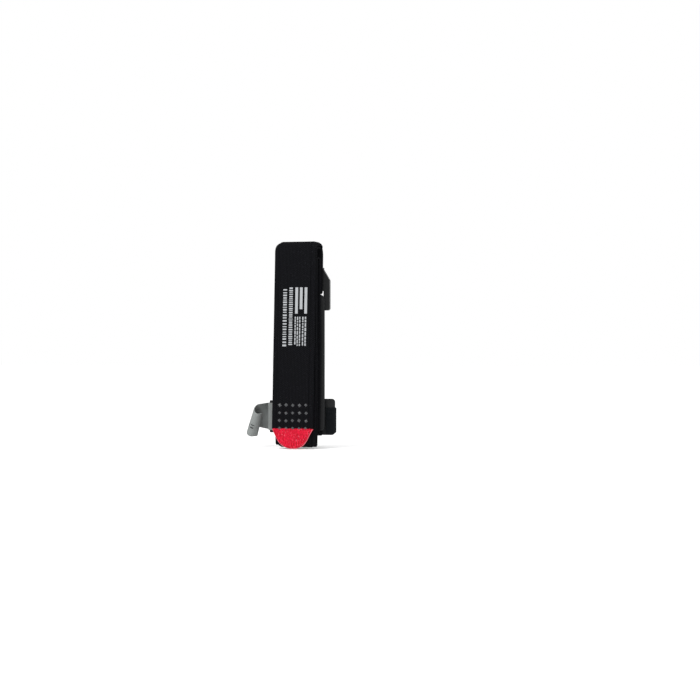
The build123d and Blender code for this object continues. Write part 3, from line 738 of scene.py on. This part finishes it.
# %% Hook patch
patch_low, patch_high = box_mm("clip_hook_patch")
PATCH_PLY = 0.6
patch_front, patch_back = patch_low[1] + PATCH_PLY, patch_high[1] - PATCH_PLY
patch_out = patch_high[0] - PATCH_PLY
PATCH_ROUND, FRONT_INSET, BACK_INSET = 0.8, 1.3, 0.2
patch_moves = [
    (patch_out - patch_low[0] - PATCH_ROUND - FRONT_INSET,), (PATCH_ROUND, 90),
    (patch_back - patch_front - 2 * PATCH_ROUND,), (PATCH_ROUND, 90),
    (patch_out - patch_low[0] - PATCH_ROUND - BACK_INSET,),
]
patch_path = walk((patch_low[0] + FRONT_INSET, patch_front), 0, patch_moves, step=1.0, turn_step=15)
patch_half = (patch_high[2] - patch_low[2]) / 2
patch_z = (patch_high[2] + patch_low[2]) / 2
patch_grid, patch_cloth = ribbon(patch_path, flat_section(patch_half, PATCH_PLY - 0.08, rim=0.5), "xy")
TAPER_RUN, TAPER = 5, 0.1
outer_end = np.clip((patch_grid[..., 0] - (patch_out - TAPER_RUN)) / TAPER_RUN, 0, 1) ** 2
patch_grid[..., 2] *= 1 - TAPER * outer_end * (patch_grid[..., 2] < 0)
patch_grid[..., 2] += patch_z
patch = make_piece("clip_hook_tape", [tube((patch_grid, patch_cloth))])

# %% Hooks on the patch
hook_bend = np.linspace(0, 1.25 * math.pi, 6)
HOOK_ROUND, HOOK_RISE, HOOK_SINK, HOOK_WIRE = 0.22, 0.42, 0.1, 0.06
HOOK_PITCH_X, HOOK_PITCH_Z, HOOK_LEAN = 1.05, 1.15, 0.25
hook_out = HOOK_ROUND - HOOK_ROUND * np.cos(hook_bend)
hook_up = -HOOK_RISE - HOOK_ROUND * np.sin(hook_bend)
hook_points = np.stack([hook_out, hook_up, 0 * hook_bend], 1)
hook = wire(hook_points[::-1].tolist() + [[0.0, HOOK_SINK, 0.0]], HOOK_WIRE)
hook_x, hook_z = np.meshgrid(
    np.arange(patch_low[0] + 2, patch_out - 0.6, HOOK_PITCH_X),
    np.arange(-patch_half + 1.6, patch_half - 1, HOOK_PITCH_Z),
)
hook_x, hook_z = hook_x.ravel(), hook_z.ravel() + patch_z
front_places = np.stack([hook_x, np.full(len(hook_x), patch_front - PATCH_PLY + HOOK_SINK), hook_z], 1)
turned_grid = hook[0] * [1, -1, 1]
back_places = front_places * [1, 0, 1] + [0, patch_back + PATCH_PLY - HOOK_SINK, 0]
lean_of_hook = np.where(np.arange(len(hook_x)) % 2 == 0, HOOK_LEAN, math.pi - HOOK_LEAN)
hooks = make_piece(
    "clip_hook_tape_hooks",
    [copies(hook, front_places, lean_of_hook), copies((turned_grid, hook[1]), back_places, lean_of_hook)],
)

# %% Sewing
STITCH_PITCH, STITCH_ROW, STITCH_COLUMNS = 3.8, 2.2, 9
stitch_arc = np.linspace(0, math.pi, 7)
STITCH_HALF, STITCH_RISE, STITCH_SINK, THREAD_RADIUS, ROW_INSET = 1.55, 0.5, 0.22, 0.27, 0.35
stitch_rise = STITCH_RISE * np.sin(stitch_arc) ** 0.6 - STITCH_SINK
stitch_points = np.stack([STITCH_HALF * np.cos(stitch_arc), stitch_rise, 0 * stitch_arc], 1)
stitch = wire(stitch_points, THREAD_RADIUS, sides=6)


def sew(name, rows_z):
    """A row of stitches across the windlass band's outer face at each height."""
    x, z = np.meshgrid((np.arange(STITCH_COLUMNS) - (STITCH_COLUMNS - 1) / 2) * STITCH_PITCH, rows_z)
    places = np.stack([x.ravel(), np.full(x.size, windlass_y + half_band - SLACK), z.ravel()], 1)
    return make_piece(name, [copies(stitch, places)])


eye_rows = box_mm("buckle_end_stitching")[1][2] - ROW_INSET - STITCH_ROW * np.arange(4)
window_low, window_high = box_mm("window_stitching")
window_rows = [
    window_low[2] + ROW_INSET, window_low[2] + ROW_INSET + STITCH_ROW,
    window_high[2] - ROW_INSET - STITCH_ROW, window_high[2] - ROW_INSET,
]
sewing_eye = sew("sewing_at_buckle", eye_rows)
sewing_window = sew("sewing_at_window", window_rows)


# %% [markdown]
# ## Materials
# Every finish is made of nodes. Effects that several finishes use, the weave and the plastic
# grain, are node groups that put out only masks and heights; the shader itself, with the
# numbers that are the same all over, stays in each material. Cloth patterns read the
# cloth attribute, the place on the flat tape, so that they bend with it.

# %% Node helpers
def add(tree, kind, inputs=(), **settings):
    """A node with its settings; inputs are (name or number, value or socket)."""
    made = tree.nodes.new(kind)
    for name, value in settings.items():
        setattr(made, name, value)
    for name, value in dict(inputs).items():
        if isinstance(value, bpy.types.NodeSocket):
            tree.links.new(value, made.inputs[name])
        else:
            made.inputs[name].default_value = value
    return made


def sum_of(tree, operation, first, second=0.0, third=None):
    """One math node's result."""
    inputs = {0: first, 1: second}
    if third is not None:
        inputs[2] = third
    return add(tree, "ShaderNodeMath", inputs, operation=operation).outputs[0]


def blend_colours(tree, share, first, second):
    """A colour between two colours."""
    mixer = add(tree, "ShaderNodeMix", data_type="RGBA")
    for place, value in ((0, share), (6, first), (7, second)):
        if isinstance(value, bpy.types.NodeSocket):
            tree.links.new(value, mixer.inputs[place])
        else:
            mixer.inputs[place].default_value = value
    return mixer.outputs[2]


def spread_of(tree, value, low, high, to_low=0.0, to_high=1.0):
    """A value taken from one range to another, and kept within it."""
    inputs = {0: value, 1: low, 2: high, 3: to_low, 4: to_high}
    return add(tree, "ShaderNodeMapRange", inputs).outputs[0]


def noise(tree, place, scale, detail):
    """A noise texture's value at each place."""
    inputs = {"Vector": place, "Scale": scale, "Detail": detail}
    return add(tree, "ShaderNodeTexNoise", inputs).outputs["Fac"]


def new_finish(name):
    """A material, its node tree and its shader."""
    material = bpy.data.materials.new(name)
    material.use_nodes = True
    return material, material.node_tree, material.node_tree.nodes["Principled BSDF"]


def raise_surface(tree, shader, height, depth, strength):
    """Turns a height into a bump of the given depth in metres."""
    bump = add(tree, "ShaderNodeBump", {"Height": height, "Distance": depth, "Strength": strength})
    tree.links.new(bump.outputs[0], shader.inputs["Normal"])


def new_group(name, inputs, outputs):
    """An empty shader group with named sockets, and its two end nodes."""
    tree = bpy.data.node_groups.new(name, "ShaderNodeTree")
    for label, kind, value in inputs:
        socket = tree.interface.new_socket(label, in_out="INPUT", socket_type="NodeSocket" + kind)
        if value is not None:
            socket.default_value = value
    for label, kind in outputs:
        tree.interface.new_socket(label, in_out="OUTPUT", socket_type="NodeSocket" + kind)
    return tree, tree.nodes.new("NodeGroupInput").outputs, tree.nodes.new("NodeGroupOutput").inputs


# %% Weave group
weave_tree, given, result = new_group(
    "woven tape",
    [("Place", "Vector", None), ("Threads across", "Float", 900.0), ("Ribs along", "Float", 900.0),
     ("Waviness", "Float", 0.25)],
    [("Height", "Float"), ("Fibre", "Float"), ("Dust and highlight", "Float")],
)


def weave_math(operation, first, second=0.0):
    """One math node's result in the weave group."""
    return sum_of(weave_tree, operation, first, second)


def ridge(at):
    """The absolute sine of pi times a place, which is one rounded ridge for each thread."""
    return weave_math("ABSOLUTE", weave_math("SINE", weave_math("MULTIPLY", at, math.pi)))


# MODULO needs numbers above nothing, so the columns are counted from far to one side
COLUMN_START = 5000.0
drift = noise(weave_tree, given["Place"], 260.0, 1.0)
place = add(weave_tree, "ShaderNodeSeparateXYZ", {0: given["Place"]}).outputs
centred = weave_math("SUBTRACT", drift, 0.5)
shake = weave_math("MULTIPLY", centred, given["Waviness"])
column_at = weave_math("ADD", weave_math("MULTIPLY", place[0], given["Threads across"]), shake)
every_other = weave_math("MODULO", weave_math("FLOOR", weave_math("ADD", column_at, COLUMN_START)), 2.0)
rib_at = weave_math("MULTIPLY", place[1], given["Ribs along"])
half_step = weave_math("MULTIPLY", every_other, 0.5)
row_at = weave_math("ADD", rib_at, weave_math("ADD", half_step, weave_math("MULTIPLY", shake, 2.0)))
across_wave, along_wave = ridge(column_at), ridge(row_at)
knot = weave_math(
    "MULTIPLY", weave_math("POWER", across_wave, 0.5), weave_math("POWER", along_wave, 0.7)
)
hair = noise(weave_tree, given["Place"], 5200.0, 3.0)
speck = noise(weave_tree, given["Place"], 900.0, 2.0)
height = weave_math("ADD", knot, weave_math("MULTIPLY", hair, 0.3))
weave_tree.links.new(height, result["Height"])
weave_tree.links.new(hair, result["Fibre"])
# the speck mask: dust on the black and grey tapes, painted highlights on the red tape and pile
weave_tree.links.new(spread_of(weave_tree, speck, 0.62, 0.8), result["Dust and highlight"])

# %% Plastic grain group
grain_tree, given, result = new_group(
    "moulded grain", [("Place", "Vector", None), ("Grain", "Float", 2600.0)],
    [("Height", "Float"), ("Scuff", "Float")],
)
fine = noise(grain_tree, given["Place"], given["Grain"], 2.0)
broad = noise(grain_tree, given["Place"], 60.0, 3.0)
stretch_inputs = {"Vector": given["Place"], "Scale": (1.0, 1.0, 0.12), "Rotation": (0.4, 0.7, 0.0)}
stretched = add(grain_tree, "ShaderNodeMapping", stretch_inputs)
scratch = noise(grain_tree, stretched.outputs[0], 1400.0, 1.0)
scratches = spread_of(grain_tree, scratch, 0.66, 0.74)
patches = spread_of(grain_tree, broad, 0.45, 0.7)
grain_tree.links.new(fine, result["Height"])
grain_tree.links.new(sum_of(grain_tree, "MULTIPLY", scratches, patches), result["Scuff"])


# %% Make cloth finishes
def cloth_finish(name, gap_shade, light, dust_and_highlight, threads, ribs, depth, rough=0.9, level=0.12, waviness=0.25):
    """Woven tape: the colour goes from painted shade in the gaps to a painted highlight on the thread
    tops, with specks that are dust on the black and grey tapes and painted highlights on the red
    ones; the bump is the thread height."""
    material, tree, shader = new_finish(name)
    spot = add(tree, "ShaderNodeAttribute", attribute_name="cloth")
    weave = add(tree, "ShaderNodeGroup", node_tree=weave_tree)
    tree.links.new(spot.outputs["Vector"], weave.inputs["Place"])
    for label, value in (("Threads across", threads), ("Ribs along", ribs), ("Waviness", waviness)):
        weave.inputs[label].default_value = value
    # painted shade and highlight: the colour is darker in the gaps between threads and lighter on the thread
    # tops
    weave_shade_share = spread_of(tree, weave.outputs["Height"], 0.35, 1.15)
    body = blend_colours(tree, weave_shade_share, (*gap_shade, 1), (*light, 1))
    # specks: dust on the black and grey tapes, painted highlights on the red tape and pile
    tint = blend_colours(tree, weave.outputs["Dust and highlight"], body, (*dust_and_highlight, 1))
    tree.links.new(tint, shader.inputs["Base Color"])
    gloss = spread_of(tree, weave.outputs["Fibre"], 0.3, 0.7, rough - 0.08, rough + 0.06)
    tree.links.new(gloss, shader.inputs["Roughness"])
    raise_surface(tree, shader, weave.outputs["Height"], depth, 0.8)
    shader.inputs["Specular IOR Level"].default_value = level
    return material


band_finish = cloth_finish(
    "band webbing", (0.0016, 0.0016, 0.002), (0.0072, 0.0074, 0.0088), (0.018, 0.018, 0.022),
    760, 560, 0.00038, level=0.03,
)
pull_finish = cloth_finish(
    "pull webbing", (0.004, 0.004, 0.005), (0.014, 0.0145, 0.016), (0.02, 0.02, 0.022),
    800, 620, 0.0003, rough=0.75, level=0.25,
)
strap_finish = cloth_finish(
    "time strap tape", (0.12, 0.13, 0.127), (0.25, 0.265, 0.26), (0.17, 0.18, 0.175),
    1500, 1500, 0.00012, rough=0.7, level=0.3,
)
# the third colour here is a painted highlight on the red loops, not dust
tip_finish = cloth_finish(
    "red loop tape", (0.26, 0.0008, 0.008), (0.68, 0.005, 0.028), (0.85, 0.06, 0.10),
    900, 900, 0.0003, rough=0.85, level=0.2, waviness=1.4,
)
hook_finish = cloth_finish(
    "hook tape", (0.002, 0.0028, 0.0035), (0.006, 0.0075, 0.009), (0.012, 0.013, 0.015),
    870, 950, 0.0002, rough=0.65, level=0.08,
)


# %% Make plain finishes with grain
def grained_finish(name, colour, worn, rough, level, depth=0.00004, grain=2600.0):
    """Moulded plastic, thread or ink: fine grain in the bump, scuffs in colour and gloss."""
    material, tree, shader = new_finish(name)
    spot = add(tree, "ShaderNodeTexCoord")
    group = add(tree, "ShaderNodeGroup", node_tree=grain_tree)
    tree.links.new(spot.outputs["Object"], group.inputs["Place"])
    group.inputs["Grain"].default_value = grain
    tint = blend_colours(tree, group.outputs["Scuff"], (*colour, 1), (*worn, 1))
    tree.links.new(tint, shader.inputs["Base Color"])
    gloss = spread_of(tree, group.outputs["Height"], 0.3, 0.7, rough - 0.06, rough + 0.06)
    scuffed = sum_of(tree, "ADD", gloss, sum_of(tree, "MULTIPLY", group.outputs["Scuff"], 0.15))
    tree.links.new(scuffed, shader.inputs["Roughness"])
    raise_surface(tree, shader, group.outputs["Height"], depth, 0.6)
    shader.inputs["Specular IOR Level"].default_value = level
    return material


plastic_finish = grained_finish("moulded plastic", (0.008, 0.0085, 0.009), (0.034, 0.034, 0.036), 0.46, 0.18)
rod_finish = grained_finish("rod plastic", (0.007, 0.007, 0.008), (0.03, 0.03, 0.032), 0.4, 0.2)
thread_finish = grained_finish(
    "sewing thread", (0.014, 0.014, 0.016), (0.03, 0.03, 0.033), 0.7, 0.25, 0.0001, 5000.0
)
# painted sheen: the welds' grey base colour stands in for highlights on the glossy studs of black melted
# cloth
weld_sheen_finish = grained_finish(
    "welded cloth", (0.030, 0.031, 0.034), (0.085, 0.085, 0.09), 0.38, 0.5, 0.00008, 3000.0
)
ink_finish = grained_finish("print ink", (0.29, 0.30, 0.31), (0.06, 0.06, 0.07), 0.7, 0.2, 0.00012, 1400.0)
mark_finish = grained_finish("mark ink", (0.018, 0.019, 0.02), (0.06, 0.06, 0.06), 0.7, 0.2, 0.00008, 1800.0)
# the third colour here is a painted highlight on the pile loops, not dust
pile_finish = cloth_finish(
    "red pile", (0.46, 0.002, 0.014), (0.84, 0.012, 0.055), (0.95, 0.26, 0.34),
    900, 900, 0.00005, rough=0.75, level=0.2,
)
rim_finish = grained_finish("cut red edge", (0.62, 0.16, 0.20), (0.80, 0.40, 0.42), 0.6, 0.3, 0.00005, 3000.0)
print(len(bpy.data.materials), "materials")


# %% [markdown]
# ## What moves with what
# Each piece now rides on its CAD body and stands for the CAD nodes that it replaces. Cloth
# that crosses a joint, the tail, the pull band's loop and the time strap, is baked where it
# lies, takes its finish and hides the CAD nodes that it replaces.

# %% Rides, finishes and hidden CAD nodes
plans = [
    (sleeve, band_finish, "band_webbing", "folded_pack", ["band_sleeve"]),
    (pull_run, pull_finish, "pull_webbing", "folded_pack", ["inner_band_run"]),
    (pull_short, pull_finish, "pull_webbing", "folded_pack", ["inner_band_buckle_end"]),
    (pull_tail, pull_finish, "pull_webbing", "tail", ["tail_inner_band"]),
    (red_tip, tip_finish, "tip_webbing", "tail", ["red_tip"]),
    (pile, pile_finish, "tip_webbing", "tail", []),
    (tip_rim, rim_finish, "tip_webbing", "tail", []),
    (welds, weld_sheen_finish, "band_webbing", "tail", []),
    (print_block, ink_finish, "band_webbing", "tail", []),
    (strap_print, mark_finish, "strap_webbing", "strap", []),
    (patch, hook_finish, "hook_tape", "folded_pack", ["clip_hook_patch"]),
    (hooks, hook_finish, "hook_tape", "folded_pack", []),
    (sewing_eye, thread_finish, "sewing_thread", "folded_pack", ["buckle_end_stitching"]),
    (sewing_window, thread_finish, "sewing_thread", "folded_pack", ["window_stitching"]),
]
for piece, finish, slot_name, body, nodes in plans:
    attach(piece, body)
    piece.data.materials.append(finish)
    if nodes:
        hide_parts(*nodes)

# %% Cloth across the joints
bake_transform(tail)
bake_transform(pull_loop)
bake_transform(strap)
for piece, finish, slot_name, nodes in (
    (tail, band_finish, "band_webbing", ["tail_panel"]),
    (pull_loop, pull_finish, "pull_webbing", ["inner_band_loop"]),
    (strap, strap_finish, "strap_webbing", ["time_strap", "time_strap_anchor"]),
):
    piece.data.materials.append(finish)
    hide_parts(*nodes)

# %% Finishes on the CAD plastics
for node_name, finish in (
    ("buckle", plastic_finish), ("windlass_clip", plastic_finish),
    ("stabiliser_plate", plastic_finish), ("windlass_rod", rod_finish),
):
    part = frame["nodes"][node_name]
    if not part.material_slots:
        part.data.materials.append(finish)
    for material_slot in part.material_slots:
        material_slot.material = finish


# %% [markdown]
# ## Floor, light and camera
# A pale floor under an even white sky gives the plain look of a cut-out product picture. A
# large soft key light from the upper left shapes the curl and the folds, and a weaker one
# from the right keeps the buckle readable.

# %% Floor and sky
FLOOR_SIZE, FLOOR_DROP = 12.0, 0.0004
floor_mesh = bpy.data.meshes.new("floor")
half_floor = FLOOR_SIZE / 2
floor_z = bottom_z * MM - FLOOR_DROP
floor_signs = ((-1, -1), (1, -1), (1, 1), (-1, 1))
floor_corners = [(x * half_floor, y * half_floor, floor_z) for x, y in floor_signs]
floor_mesh.from_pydata(floor_corners, [], [(0, 1, 2, 3)])
floor = bpy.data.objects.new("floor", floor_mesh)
bpy.context.scene.collection.objects.link(floor)
floor_finish, _, floor_shader = new_finish("pale floor")
for label, value in (
    ("Base Color", (0.9, 0.9, 0.9, 1)), ("Roughness", 0.9), ("Specular IOR Level", 0.0),
    ("Emission Color", (1, 1, 1, 1)), ("Emission Strength", 0.16),
):
    floor_shader.inputs[label].default_value = value
floor_mesh.materials.append(floor_finish)
sky = bpy.data.worlds.new("sky")
bpy.context.scene.world = sky
sky.use_nodes = True
sky.node_tree.nodes["Background"].inputs["Color"].default_value = (1, 1, 1, 1)
sky.node_tree.nodes["Background"].inputs["Strength"].default_value = 1.0


# %% Lamps
def soft_lamp(name, place, aim, size, power):
    """A square area light that looks at a point."""
    lamp = bpy.data.lights.new(name, "AREA")
    lamp.size, lamp.energy = size, power
    holder = bpy.data.objects.new(name, lamp)
    bpy.context.scene.collection.objects.link(holder)
    holder.location = place
    holder.rotation_mode = "QUATERNION"
    holder.rotation_quaternion = (Vector(aim) - Vector(place)).to_track_quat("-Z", "Y")


soft_lamp("key", (-0.7, -0.9, 0.9), (0, 0, 0), 0.5, 14)
soft_lamp("fill", (1.1, -0.7, 0.3), (0, 0, 0), 0.6, 5)

# %% Camera
DISTANCE, FRAME_WIDTH, SENSOR_WIDTH = 1.2, 0.63, 36
VIEW_AZIMUTH, OFF_AXIS, CENTRE_DROP = math.radians(13.4), 0.0476, -0.0047
aim_turn = math.atan(OFF_AXIS / DISTANCE)
camera = bpy.data.cameras.new("camera")
camera_holder = bpy.data.objects.new("camera", camera)
bpy.context.scene.collection.objects.link(camera_holder)
bpy.context.scene.camera = camera_holder
camera.sensor_width = SENSOR_WIDTH
camera.lens = SENSOR_WIDTH / 2 / (FRAME_WIDTH / 2 / DISTANCE)
camera.clip_start, camera.clip_end = 0.01, 50
camera_holder.location = (
    DISTANCE * math.sin(VIEW_AZIMUTH), tail_low[1] * MM - DISTANCE * math.cos(VIEW_AZIMUTH), CENTRE_DROP
)
camera_holder.rotation_euler = (math.pi / 2, 0, VIEW_AZIMUTH - aim_turn)
bpy.context.scene.view_settings.view_transform = "Standard"
